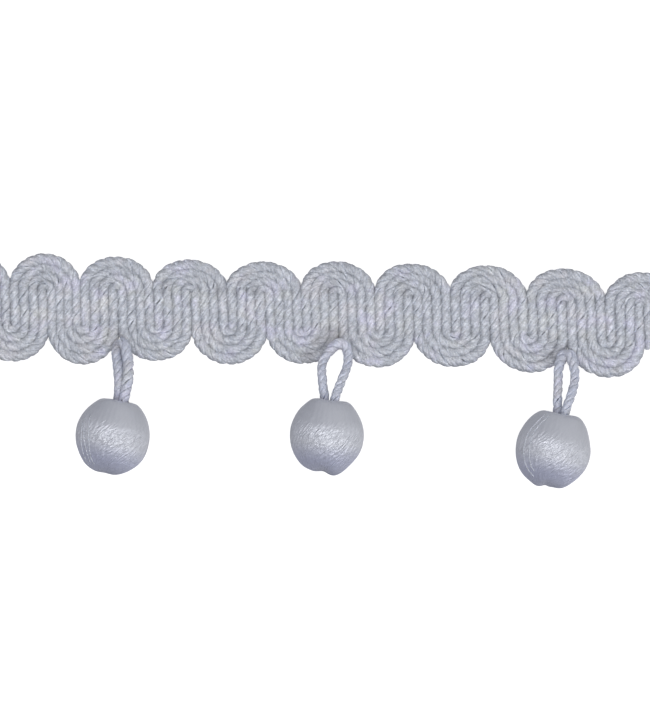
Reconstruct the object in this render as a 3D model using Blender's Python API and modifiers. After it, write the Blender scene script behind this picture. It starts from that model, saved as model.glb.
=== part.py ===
"""A cut length of beaded fringe: a scroll gimp heading of four twisted cords,
with three wound beads hung on doubled cord loops, lying flat with its face up.

Blender 4.5, metres, +Z up. X runs along the trimming, +Y towards the heading's
top edge. The origin is on the back of the heading, at its middle."""
import math

import bmesh
import bpy
from mathutils import Vector

MM = 0.001

# The heading, in millimetres: four cords side by side, led through a straight band between
# two bound lines and round the scrolls above and below it. The cords of the band lean.
CORD = 1.25
CORDS = 4
HALF_BAND = 2.45
CREASE = 0.55
CUT_Y = -3.4
LEAN = 0.065
ARCH_STEPS = 8
# One cord's rib, as shares of the cord: the height of the groove beside it, its height where
# a binding thread presses it, and how far in from its sides it is full height.
GROOVE = 0.58
PRESSED = 0.84
SHOULDER = 0.24

# Each row is one scroll or one cut end, from left to right: the middle of the scroll along
# the heading, the height of its crown, and how far the heading sways there, in millimetres.
# Upper and lower scrolls take turns, and the first and last rows are the cut ends.
SCROLL_COLUMNS = ("middle", "crown", "sway")
SCROLLS = (
    (-49.70, 0.00, -0.50),
    (-44.75, 6.65, -0.48),
    (-39.95, -7.95, -0.46),
    (-35.00, 6.80, -0.42),
    (-30.50, -8.05, -0.32),
    (-25.50, 6.68, -0.22),
    (-20.70, -7.25, -0.16),
    (-15.70, 6.57, -0.06),
    (-10.80, -7.49, 0.00),
    (-5.75, 6.60, 0.04),
    (-0.85, -7.07, 0.06),
    (4.05, 6.89, 0.08),
    (9.05, -7.30, 0.14),
    (14.10, 6.92, 0.20),
    (19.20, -6.90, 0.24),
    (24.40, 6.96, 0.20),
    (29.50, -7.37, 0.08),
    (34.75, 6.86, -0.04),
    (40.00, -7.72, -0.14),
    (45.15, 6.63, -0.20),
    (50.20, 0.00, -0.22),
)

# Each row is one bead, in millimetres and degrees: the place of its middle, its width and
# height, and how far its upper end leans to the right.
BEAD_COLUMNS = ("x", "y", "width", "height", "lean")
BEADS = (
    (-25.60, -17.60, 9.80, 9.90, 10.0),
    (3.01, -16.85, 9.80, 9.95, 2.9),
    (33.25, -17.65, 10.00, 9.90, 11.0),
)
# The turned outline of a bead, as shares of its half height and half width, from the floor
# of its mouth, over the rim and down the outside to the lower end.
BEAD_OUTLINE = (
    (0.70, 0.00),
    (0.70, 0.35),
    (0.92, 0.36),
    (1.00, 0.43),
    (0.985, 0.53),
    (0.88, 0.66),
    (0.73, 0.78),
    (0.50, 0.91),
    (0.22, 1.00),
    (-0.07, 1.00),
    (-0.34, 0.93),
    (-0.60, 0.78),
    (-0.80, 0.58),
    (-0.94, 0.30),
    (-1.00, 0.00),
)
BEAD_SIDES = 24
FLAT_SPOT = 0.08
SURFACE_BLOCK = (140.0, 30.0, 10.0)

# The loops, in millimetres: the middle of the cord, up the left leg from the bead's mouth,
# over the crown in the notch of the heading, and down the right leg.
LOOP_ROUTES = (
    (
        (-25.09, -12.35, 4.25),
        (-25.01, -10.60, 4.00),
        (-25.12, -8.90, 3.40),
        (-25.36, -7.40, 2.75),
        (-25.50, -6.30, 2.32),
        (-25.35, -5.35, 2.20),
        (-24.87, -4.92, 2.62),
        (-24.35, -5.20, 3.15),
        (-24.05, -6.10, 3.50),
        (-23.86, -7.30, 3.95),
        (-23.78, -8.60, 4.60),
        (-23.88, -10.10, 5.20),
        (-24.24, -11.70, 5.42),
    ),
    (
        (2.60, -11.60, 4.35),
        (2.34, -10.20, 4.20),
        (2.16, -8.60, 3.75),
        (2.08, -7.30, 3.05),
        (2.45, -6.10, 2.45),
        (3.25, -5.05, 2.20),
        (4.15, -4.40, 2.18),
        (5.00, -4.50, 2.18),
        (5.50, -5.35, 2.25),
        (5.58, -6.60, 2.65),
        (5.25, -7.90, 3.45),
        (4.75, -9.20, 4.30),
        (4.30, -10.40, 5.00),
        (3.93, -11.60, 5.28),
    ),
    (
        (33.73, -12.20, 4.35),
        (33.68, -11.00, 4.25),
        (33.71, -9.50, 3.90),
        (33.72, -8.00, 3.30),
        (33.78, -6.75, 2.70),
        (34.05, -5.70, 2.30),
        (34.60, -5.05, 2.20),
        (35.25, -5.15, 2.35),
        (35.70, -5.95, 2.70),
        (35.93, -7.20, 3.30),
        (35.85, -8.50, 4.00),
        (35.55, -9.80, 4.70),
        (35.10, -11.10, 5.30),
        (34.74, -12.20, 5.50),
    ),
)
LEG_IN_MOUTH = 1.10
LOOP_RADIUS = 0.61
PLIES = 3
TWIST_PITCH = 4.1
RINGS_A_TURN = 12
PLY_VALLEY = 0.74
PLY_SHOULDER = 22.0
STEPS_A_POINT = 24

WELD = 0.01
SHARP_EDGE = 50.0
CORD_COLOUR = (0.45, 0.46, 0.52, 1.0)
CORD_ROUGHNESS = 0.6
THREAD_COLOUR = (0.46, 0.47, 0.54, 1.0)
THREAD_ROUGHNESS = 0.42


# The scene
def clear_scene() -> None:
    """Remove every object, so that the model starts from nothing."""
    for old in list(bpy.data.objects):
        bpy.data.objects.remove(old, do_unlink=True)


def new_collection(name: str) -> bpy.types.Collection:
    """Make a collection in the scene and return it."""
    made = bpy.data.collections.new(name)
    bpy.context.scene.collection.children.link(made)
    return made


def fabric(name: str, colour: tuple, roughness: float) -> bpy.types.Material:
    """Make a plain cloth material with a colour and a roughness."""
    made = bpy.data.materials.new(name)
    made.use_nodes = True
    shader = made.node_tree.nodes["Principled BSDF"]
    shader.inputs["Base Color"].default_value = colour
    shader.inputs["Roughness"].default_value = roughness
    shader.inputs["Metallic"].default_value = 0.0
    return made


def spline_value(values: list, place: float) -> float:
    """Read a smooth curve through evenly spaced values, at a place counted in values."""
    last = len(values) - 1
    start = min(max(int(math.floor(place)), 0), last - 1)
    t = place - start
    a = values[max(start - 1, 0)]
    b = values[start]
    c = values[start + 1]
    d = values[min(start + 2, last)]
    slope_b = (c - a) / 2.0
    slope_c = (d - b) / 2.0
    if start == 0:
        slope_b = c - b
    if start == last - 1:
        slope_c = c - b
    h00 = 2.0 * t ** 3 - 3.0 * t ** 2 + 1.0
    h10 = t ** 3 - 2.0 * t ** 2 + t
    h01 = 3.0 * t ** 2 - 2.0 * t ** 3
    h11 = t ** 3 - t ** 2
    return h00 * b + h10 * slope_b + h01 * c + h11 * slope_c


# The heading
def heading_point(lane: float, y: float, z: float) -> Vector:
    """Place a point of the heading. The lane is counted in cords from the left cut end."""
    place = lane / CORDS
    middle = spline_value([row[SCROLL_COLUMNS.index("middle")] for row in SCROLLS], place)
    sway = spline_value([row[SCROLL_COLUMNS.index("sway")] for row in SCROLLS], place)
    return Vector((middle - LEAN * y, y + sway, z)) * MM


def arch_height(index: int) -> float:
    """The height of a scroll from the band's edge to its crown."""
    row = dict(zip(SCROLL_COLUMNS, SCROLLS[index]))
    side = 1.0 if row["crown"] > 0.0 else -1.0
    return side * (row["crown"] - row["sway"]) - HALF_BAND


class RibbedSheet:
    """A sheet with one raised rib for each cord and a flat back."""

    def __init__(self) -> None:
        """Start an empty mesh."""
        self.mesh = bmesh.new()

    def face(self, points: list) -> None:
        """Add a face through points, which may be shared with other faces."""
        self.mesh.faces.new([self.mesh.verts.new(point) for point in points])

    def join(self, first: list, second: list) -> None:
        """Add the strip of faces between two rows of points."""
        for k in range(len(first) - 1):
            self.face([first[k], first[k + 1], second[k + 1], second[k]])

    def finish(self, name: str) -> bpy.types.Mesh:
        """Weld the shared points, turn the faces outwards and return the mesh."""
        bmesh.ops.remove_doubles(self.mesh, verts=self.mesh.verts, dist=WELD * MM)
        bmesh.ops.recalc_face_normals(self.mesh, faces=self.mesh.faces)
        made = bpy.data.meshes.new(name)
        self.mesh.to_mesh(made)
        self.mesh.free()
        made.shade_smooth()
        made.set_sharp_from_angle(angle=math.radians(SHARP_EDGE))
        return made


def rib_section(place, height: float) -> tuple:
    """The upper and back points across one cord. place(share, z) gives a point of it."""
    groove_z = GROOVE * CORD
    ridge_z = height * CORD
    upper = [
        place(0.0, groove_z),
        place(SHOULDER, ridge_z),
        place(1.0 - SHOULDER, ridge_z),
        place(1.0, groove_z),
    ]
    back = [place(0.0, 0.0), place(1.0, 0.0)]
    return upper, back


def add_lane(sheet: RibbedSheet, sections: list) -> None:
    """Add one cord's upper strips and back strip along its sections."""
    for first, second in zip(sections, sections[1:]):
        sheet.join(first[0], second[0])
        sheet.join(first[1], second[1])


def add_edge(sheet: RibbedSheet, sections: list, end: int) -> None:
    """Close the open side of a cord, along the first or the last points of its sections."""
    for first, second in zip(sections, sections[1:]):
        sheet.face([first[0][end], second[0][end], second[1][end], first[1][end]])


def band_lane(lane: int, low_y: float) -> list:
    """The sections of one cord through the straight band, from below to above."""
    rows = (
        (low_y, PRESSED),
        (-HALF_BAND + CREASE, 1.0),
        (HALF_BAND - CREASE, 1.0),
        (HALF_BAND, PRESSED),
    )
    if low_y < -HALF_BAND:
        rows = ((low_y, 1.0), (-HALF_BAND, PRESSED)) + rows[1:]
    sections = []
    for y, height in rows:
        sections.append(rib_section(lambda share, z: heading_point(lane + share, y, z), height))
    return sections


def arch_lane(index: int, ring: int) -> list:
    """The sections of one cord round a scroll, from its left leg to its right leg."""
    centre = index * CORDS
    side = 1.0 if index % 2 else -1.0
    tall = arch_height(index)
    sections = []
    for step in range(ARCH_STEPS + 1):
        angle = math.pi * (1.0 - step / ARCH_STEPS)
        across = math.cos(angle)
        up = math.sin(angle) if 0 < step < ARCH_STEPS else 0.0
        height = 1.0 if 0 < step < ARCH_STEPS else PRESSED

        def place(share: float, z: float) -> Vector:
            radius = ring + share
            y = side * (HALF_BAND + tall * up * radius / CORDS)
            return heading_point(centre + across * radius, y, z)

        sections.append(rib_section(place, height))
    return sections


def make_heading() -> bpy.types.Mesh:
    """The scroll gimp: a straight band of cords with scrolls above and below it."""
    sheet = RibbedSheet()
    lanes = CORDS * (len(SCROLLS) - 1)
    for lane in range(lanes):
        at_end = lane < CORDS or lane >= lanes - CORDS
        sections = band_lane(lane, CUT_Y if at_end else -HALF_BAND)
        add_lane(sheet, sections)
        if at_end:
            upper, back = sections[0]
            sheet.face(upper + back[::-1])
        if lane == 0:
            add_edge(sheet, sections, 0)
        if lane == lanes - 1:
            add_edge(sheet, sections, -1)
        if lane in (CORDS, lanes - CORDS):
            close_cut(sheet, lane)
    for index in range(1, len(SCROLLS) - 1):
        for ring in range(CORDS):
            sections = arch_lane(index, ring)
            add_lane(sheet, sections)
            if ring == CORDS - 1:
                add_edge(sheet, sections, -1)
    return sheet.finish("heading")


def close_cut(sheet: RibbedSheet, lane: int) -> None:
    """Close the inner side of the cut ends, between the cut and the band's lower edge."""
    low = [heading_point(lane, CUT_Y, GROOVE * CORD), heading_point(lane, CUT_Y, 0.0)]
    high = [heading_point(lane, -HALF_BAND, GROOVE * CORD), heading_point(lane, -HALF_BAND, 0.0)]
    sheet.join(low, high)


# The beads
def make_bead_outline() -> bpy.types.Mesh:
    """The half outline of a bead of unit size, which a Screw modifier turns."""
    made = bpy.data.meshes.new("bead_outline")
    points = [(across, 0.0, along) for along, across in BEAD_OUTLINE]
    edges = [(k, k + 1) for k in range(len(points) - 1)]
    made.from_pydata(points, edges, [])
    return made


def add_bead(name: str, bead: dict, home: bpy.types.Collection, surface: bpy.types.Object) -> None:
    """Turn one bead and lay it on the surface with a small flat spot."""
    outline = make_bead_outline()
    half_width = bead["width"] / 2.0
    for point in outline.vertices:
        point.co.x *= half_width * MM
        point.co.z *= bead["height"] / 2.0 * MM
    made = bpy.data.objects.new(name, outline)
    home.objects.link(made)
    turn = made.modifiers.new("turn", "SCREW")
    turn.steps = BEAD_SIDES
    turn.render_steps = BEAD_SIDES
    turn.use_smooth_shade = True
    turn.use_merge_vertices = True
    turn.merge_threshold = WELD * MM
    made.location = Vector((bead["x"], bead["y"], half_width - FLAT_SPOT)) * MM
    made.rotation_euler = (-math.pi / 2.0, 0.0, -math.radians(bead["lean"]))
    cut = made.modifiers.new("flat_spot", "BOOLEAN")
    cut.operation = "DIFFERENCE"
    cut.solver = "EXACT"
    cut.object = surface
    outline.materials.append(fabric(name, THREAD_COLOUR, THREAD_ROUGHNESS))


def add_surface_cutter(home: bpy.types.Collection) -> bpy.types.Object:
    """The block below the surface that gives each bead its flat spot."""
    length, width, depth = SURFACE_BLOCK
    middle_y = sum(row[BEAD_COLUMNS.index("y")] for row in BEADS) / len(BEADS)
    bpy.ops.mesh.primitive_cube_add(size=1.0, location=(0.0, middle_y * MM, -depth / 2.0 * MM))
    block = bpy.context.active_object
    block.name = "surface_cutter"
    block.scale = (length * MM, width * MM, depth * MM)
    for other in list(block.users_collection):
        other.objects.unlink(block)
    home.objects.link(block)
    block.hide_render = True
    block.display_type = "WIRE"
    return block


# The loops
def add_ply_section(home: bpy.types.Collection) -> bpy.types.Object:
    """The cross-section of a cord of three plies, as a guide for the loops."""
    curve = bpy.data.curves.new("ply_section", "CURVE")
    curve.dimensions = "2D"
    corners = (
        (PLY_SHOULDER, 1.0),
        (-PLY_SHOULDER, 1.0),
        (-180.0 / PLIES, PLY_VALLEY),
    )
    points = []
    for ply in range(PLIES):
        for angle, share in corners:
            turn = math.radians(angle - 360.0 / PLIES * ply)
            reach = LOOP_RADIUS * share * MM
            points.append((reach * math.cos(turn), reach * math.sin(turn)))
    spline = curve.splines.new("POLY")
    spline.points.add(len(points) - 1)
    for point, (x, y) in zip(spline.points, points):
        point.co = (x, y, 0.0, 1.0)
    spline.use_cyclic_u = True
    made = bpy.data.objects.new("ply_section", curve)
    home.objects.link(made)
    made.hide_render = True
    made.display_type = "WIRE"
    return made


def smooth_route(route: list, spacing: float) -> list:
    """Points a given length apart along a smooth curve through a route's own points."""
    dense = []
    for k in range((len(route) - 1) * STEPS_A_POINT + 1):
        place = k / STEPS_A_POINT
        dense.append(Vector([spline_value([p[axis] for p in route], place) for axis in range(3)]))
    total = sum((b - a).length for a, b in zip(dense, dense[1:]))
    count = max(2, round(total / spacing))
    wanted = [total * k / count for k in range(count + 1)]
    points = []
    gone = 0.0
    for a, b in zip(dense, dense[1:]):
        length = (b - a).length
        while len(points) < count and wanted[len(points)] <= gone + length:
            points.append(a.lerp(b, (wanted[len(points)] - gone) / length))
        gone += length
    points.append(dense[-1])
    return points


def leg_end(leg: tuple, bead: dict) -> tuple:
    """The end of a leg inside the bead's mouth, further down along the bead's axis."""
    lean = math.radians(bead["lean"])
    return (
        leg[0] - LEG_IN_MOUTH * math.sin(lean),
        leg[1] - LEG_IN_MOUTH * math.cos(lean),
        leg[2],
    )


def add_loop(name: str, route: tuple, bead: dict, home: bpy.types.Collection,
             section: bpy.types.Object) -> None:
    """One doubled cord from its bead's mouth over the heading's notch and back."""
    whole = [leg_end(route[0], bead)] + list(route) + [leg_end(route[-1], bead)]
    points = smooth_route(whole, TWIST_PITCH / RINGS_A_TURN)
    curve = bpy.data.curves.new(name, "CURVE")
    curve.dimensions = "3D"
    curve.twist_mode = "MINIMUM"
    curve.bevel_mode = "OBJECT"
    curve.bevel_object = section
    curve.use_fill_caps = True
    spline = curve.splines.new("POLY")
    spline.points.add(len(points) - 1)
    for k, place in enumerate(points):
        spline.points[k].co = (*(place * MM), 1.0)
        spline.points[k].tilt = 2.0 * math.pi * k / RINGS_A_TURN
    curve.materials.append(fabric(name, CORD_COLOUR, CORD_ROUGHNESS))
    made = bpy.data.objects.new(name, curve)
    home.objects.link(made)


def main() -> None:
    """Build the heading, the beads and the loops."""
    clear_scene()
    parts = new_collection("beaded_fringe")
    cutters = new_collection("cutters")
    heading = make_heading()
    heading.materials.append(fabric("heading", CORD_COLOUR, CORD_ROUGHNESS))
    parts.objects.link(bpy.data.objects.new("heading", heading))
    surface = add_surface_cutter(cutters)
    section = add_ply_section(cutters)
    for number, (row, route) in enumerate(zip(BEADS, LOOP_ROUTES), start=1):
        bead = dict(zip(BEAD_COLUMNS, row))
        add_bead(f"bead_{number}", bead, parts, surface)
        add_loop(f"loop_{number}", route, bead, parts, section)


main()
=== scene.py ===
"""Looks of a cut length of beaded fringe: twisted cords laid in scrolls, bound by fine threads,
with three beads wound in satin thread and hung on doubled cord loops.

Blender 4.5, metres, +Z up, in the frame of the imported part."""

import logging
import math
import random
from dataclasses import dataclass, field
from enum import Enum

import bpy
from mathutils import Matrix, Vector
from mathutils.bvhtree import BVHTree


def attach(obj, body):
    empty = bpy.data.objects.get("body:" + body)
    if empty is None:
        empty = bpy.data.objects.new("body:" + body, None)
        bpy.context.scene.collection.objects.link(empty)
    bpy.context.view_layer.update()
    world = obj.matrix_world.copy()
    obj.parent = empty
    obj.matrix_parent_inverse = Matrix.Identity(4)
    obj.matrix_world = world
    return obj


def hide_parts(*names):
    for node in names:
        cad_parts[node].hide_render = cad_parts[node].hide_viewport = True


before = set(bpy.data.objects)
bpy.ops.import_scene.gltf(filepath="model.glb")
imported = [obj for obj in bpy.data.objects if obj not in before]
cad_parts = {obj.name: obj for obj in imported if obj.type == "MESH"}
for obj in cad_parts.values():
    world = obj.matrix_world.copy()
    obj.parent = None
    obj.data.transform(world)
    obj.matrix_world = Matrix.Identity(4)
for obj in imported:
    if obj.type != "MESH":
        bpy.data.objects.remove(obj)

MM = 0.001
FULL_TURN = 2.0 * math.pi
BODY = "root"
Socket = bpy.types.NodeSocket
Colour = tuple[float, float, float]
log = logging.getLogger("beaded_fringe")


class Slot(Enum):
    """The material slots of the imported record."""

    GIMP_CORD = "gimp_cord"
    LOOP_CORD = "loop_cord"
    BEAD_THREAD = "bead_thread"


def add_object(name: str, data: object) -> bpy.types.Object:
    """Add an object to the scene.

    Args:
        name: its name.
        data: its mesh, light or camera.

    Returns:
        The object, at the origin.
    """
    made = bpy.data.objects.new(name, data)
    bpy.context.scene.collection.objects.link(made)
    return made


# Node trees
class Wiring:
    """A node tree, with short ways to add nodes and to join their sockets."""

    def __init__(self, tree: bpy.types.NodeTree) -> None:
        """Keep the tree that is being filled."""
        self.tree = tree

    def feed(self, socket: Socket, value: object) -> None:
        """Join a socket to another one, or set its value.

        Args:
            socket: the input.
            value: an output socket, or a plain value.
        """
        if isinstance(value, Socket):
            self.tree.links.new(value, socket)
        else:
            socket.default_value = value

    def add(self, kind: str, inputs: dict | None = None, **options: object) -> bpy.types.Node:
        """Add a node.

        Args:
            kind: Blender's name for the node.
            inputs: for each input, by its name or number, a socket or a value.
            options: the node's own options.

        Returns:
            The node.
        """
        node = self.tree.nodes.new(kind)
        node.location = (180.0 * len(self.tree.nodes), 0.0)
        for name, value in options.items():
            setattr(node, name, value)
        for key, value in (inputs or {}).items():
            self.feed(node.inputs[key], value)
        return node

    def maths(self, operation: str, first: object, *more: object) -> Socket:
        """Join numbers or sockets by Math nodes, from left to right.

        Args:
            operation: Blender's name for the operation.
            first: the first number or socket.
            more: the others, or none where the operation takes one number.

        Returns:
            The result's socket.
        """
        for second in more or (0.0,):
            first = self.add("ShaderNodeMath", {0: first, 1: second}, operation=operation).outputs[0]
        return first

    def times(self, *values: object) -> Socket:
        """Return the product of numbers or sockets."""
        return self.maths("MULTIPLY", *values)

    def plus(self, *values: object) -> Socket:
        """Return the sum of numbers or sockets."""
        return self.maths("ADD", *values)

    def minus(self, first: object, second: object) -> Socket:
        """Return the difference of two numbers or sockets."""
        return self.maths("SUBTRACT", first, second)

    def vector(self, operation: str, first: object, second: object = (0.0, 0.0, 0.0)) -> Socket:
        """Add a Vector Math node.

        Args:
            operation: Blender's name for the operation.
            first: its first vector.
            second: its second vector, or the factor of a scaling.

        Returns:
            The result's socket.
        """
        key = "Scale" if operation == "SCALE" else 1
        node = self.add("ShaderNodeVectorMath", {0: first, key: second}, operation=operation)
        return node.outputs["Value" if operation in ("DISTANCE", "DOT_PRODUCT") else "Vector"]

    def combine(self, x: object, y: object, z: object) -> Socket:
        """Add a Combine XYZ node and return its vector."""
        return self.add("ShaderNodeCombineXYZ", {0: x, 1: y, 2: z}).outputs[0]

    def separate(self, vector: Socket) -> bpy.types.NodeOutputs:
        """Add a Separate XYZ node and return its three outputs."""
        return self.add("ShaderNodeSeparateXYZ", {0: vector}).outputs

    def noise(self, where: Socket, scale: float = 1.0, detail: float = 1.0,
              roughness: float = 0.5) -> Socket:
        """Add a Noise Texture.

        Args:
            where: the place that it is read at.
            scale: the waves in a unit of the place.
            detail: how many finer noises are laid over it.
            roughness: how strong the finer noises are.

        Returns:
            The socket of its number, round 0.5.
        """
        inputs = {"Vector": where, "Scale": scale, "Detail": detail, "Roughness": roughness}
        return self.add("ShaderNodeTexNoise", inputs).outputs[0]

    def ramp(self, value: Socket, start: float, end: float, low: float = 0.0, high: float = 1.0,
             **options: object) -> Socket:
        """Add a Map Range node, which stays between its two results.

        Args:
            value: the socket of the number.
            start: the number that gives the first result.
            end: the number that gives the second one.
            low: the first result.
            high: the second result.
            options: the node's own options.

        Returns:
            The result's socket.
        """
        inputs = {"Value": value, "From Min": start, "From Max": end, "To Min": low, "To Max": high}
        return self.add("ShaderNodeMapRange", inputs, **options).outputs[0]

    def mix(self, share: Socket, first: object, second: object) -> Socket:
        """Mix two colours.

        Args:
            share: the socket of the second colour's share.
            first: the first colour, as a socket or three numbers.
            second: the second one.

        Returns:
            The mixed colour's socket.
        """
        node = self.add("ShaderNodeMix", data_type="RGBA")
        for key, value in (("Factor", share), (6, first), (7, second)):
            self.feed(node.inputs[key], (*value, 1.0) if isinstance(value, tuple) else value)
        return node.outputs[2]


class PaintTree(Wiring):
    """A material's node tree round its shader."""

    def __init__(self, name: str) -> None:
        """Start the material.

        Args:
            name: its name.
        """
        self.material = bpy.data.materials.new(name)
        self.material.use_nodes = True
        super().__init__(self.material.node_tree)

    def attribute(self, name: str, output: str = "Fac") -> Socket:
        """Read an attribute of the mesh by its name."""
        return self.add("ShaderNodeAttribute", attribute_name=name).outputs[output]

    def place(self) -> Socket:
        """Read the place on the piece, in metres."""
        return self.add("ShaderNodeTexCoord").outputs["Object"]

    def tangent(self) -> Socket:
        """Read the direction across the fibres from the UV map."""
        return self.add("ShaderNodeTangent", direction_type="UV_MAP", uv_map="UVMap").outputs[0]

    def bump(self, height: Socket, distance: float) -> bpy.types.Node:
        """Add a Bump node for a height from 0 to 1 and its depth in metres."""
        return self.add("ShaderNodeBump", {"Height": height, "Strength": 1.0, "Distance": distance})

    def paint(self, values: dict) -> bpy.types.Material:
        """Set the shader's inputs.

        Args:
            values: for each input, by its name, a socket or a value.

        Returns:
            The material.
        """
        shader = self.tree.nodes["Principled BSDF"]
        for name, value in values.items():
            self.feed(shader.inputs[name], value)
        return self.material


class GrowingTree(Wiring):
    """A Geometry Nodes tree with named inputs, which grows a mesh along a guide line."""

    def __init__(self, name: str, inputs: dict[str, tuple]) -> None:
        """Start the tree.

        Args:
            name: its name.
            inputs: for each kind of input, the names of those besides the geometry.
        """
        super().__init__(bpy.data.node_groups.new(name, "GeometryNodeTree"))
        sockets = self.tree.interface
        sockets.new_socket("Geometry", in_out="INPUT", socket_type="NodeSocketGeometry")
        sockets.new_socket("Geometry", in_out="OUTPUT", socket_type="NodeSocketGeometry")
        self.identifiers = {}
        for kind, labels in inputs.items():
            for label in labels:
                made = sockets.new_socket(label, in_out="INPUT", socket_type="NodeSocket" + kind)
                self.identifiers[label] = made.identifier
        self.given = self.add("NodeGroupInput").outputs

    def grown(self, kind: str, inputs: dict | None = None, **options: object) -> Socket:
        """Add one of these trees' own nodes by its short name and return its first output."""
        return self.add("GeometryNode" + kind, inputs, **options).outputs[0]

    def named(self, name: str, kind: str = "FLOAT") -> Socket:
        """Read an attribute of the geometry by its name."""
        return self.grown("InputNamedAttribute", {"Name": name}, data_type=kind)

    def store(self, geometry: Socket, name: str, value: Socket, kind: str = "FLOAT",
              domain: str = "POINT") -> Socket:
        """Keep a value on the geometry.

        Args:
            geometry: the geometry's socket.
            name: the attribute's name.
            value: the socket of its value.
            kind: its data type.
            domain: what has a value each, points or the corners of faces.

        Returns:
            The socket of the geometry that holds it.
        """
        inputs = {"Geometry": geometry, "Name": name, "Value": value}
        return self.grown("StoreNamedAttribute", inputs, data_type=kind, domain=domain)

    def chart(self, geometry: Socket, across: Socket, along: Socket) -> Socket:
        """Give the mesh a UV map, whose first number runs across the fibres."""
        return self.store(geometry, "UVMap", self.combine(across, along, 0.0), "FLOAT2", "CORNER")

    def ring(self, angle: Socket, reach: object, along: Socket) -> Socket:
        """Turn an angle into a place round an axis.

        Args:
            angle: the angle's socket, in radians.
            reach: the distance from the axis, as a number or a socket.
            along: the socket of the place along the axis.

        Returns:
            The place's socket.
        """
        x = self.times(self.maths("COSINE", angle), reach)
        y = self.times(self.maths("SINE", angle), reach)
        return self.combine(x, y, along)

    def finish(self, geometry: Socket, material: Socket, dropped: tuple) -> None:
        """End the tree in smooth shading, its material and real geometry.

        Args:
            geometry: the socket of the grown mesh.
            material: the socket of the material.
            dropped: the names of the attributes that only the tree needs.
        """
        for name in dropped:
            geometry = self.grown("RemoveAttribute", {"Geometry": geometry, "Name": name})
        geometry = self.grown("SetShadeSmooth", {"Geometry": geometry, "Shade Smooth": True})
        geometry = self.grown("RealizeInstances", {"Geometry": geometry})
        geometry = self.grown("SetMaterial", {"Geometry": geometry, "Material": material})
        self.add("NodeGroupOutput", {"Geometry": geometry})

    def grow(self, name: str, guide: bpy.types.Mesh, sizes: dict) -> bpy.types.Object:
        """Grow a piece along a guide line and keep it as a plain mesh.

        Args:
            name: the piece's name.
            guide: the line, as points and edges with their attributes.
            sizes: the value of each named input.

        Returns:
            The piece, at the origin.
        """
        host = add_object(name + "_guide", guide)
        modifier = host.modifiers.new("grow", "NODES")
        modifier.node_group = self.tree
        for label, value in sizes.items():
            modifier[self.identifiers[label]] = value
        graph = bpy.context.evaluated_depsgraph_get()
        mesh = bpy.data.meshes.new_from_object(host.evaluated_get(graph))
        host.modifiers.remove(modifier)
        bpy.data.objects.remove(host)
        bpy.data.meshes.remove(guide)
        mesh.name = name
        return add_object(name, mesh)


# The waves of a ply's errors in metres, and the steps that set plies and seeds apart in a noise
WANDER_WAVE = 0.0016
SWELL_WAVE = 0.0011
PLY_STEP = 5.3
PLY_FIBRE_STEP = 37.3
SWELL_SHIFT = 3.7
CORD_SEED_STEP = 7.31
BEAD_SEED_STEP = 9.7

# How narrow the painted highlight on each ply's upward crown is, how coarse its fuzz, and UV units to a
# metre of it
CROWN_POWER = 6.5
FUZZ_SCALE = 0.55
UV_ALONG = 100.0

# A strand has three sides, so a sine is highest at sixty degrees on it
SIDES_PER_STRAND = 3.0
LOBE_SCALE = 2.0 / math.sqrt(3.0)

# The strokes and the bundles of a bead's thread: how many go round and how many along
STROKES_ROUND = 16.0
STROKES_ALONG = 6.8
BUNDLES_ROUND = 3.2
BUNDLES_ALONG = 0.7

# From this height over the middle, in half widths, the strokes are at their faintest
FAINT_FROM = 0.60
FAINTEST = 0.15

# How round the thread is between two grooves, and how near points are joined, in metres
CREST_POWER = 0.5
WELD = 0.00001


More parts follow.
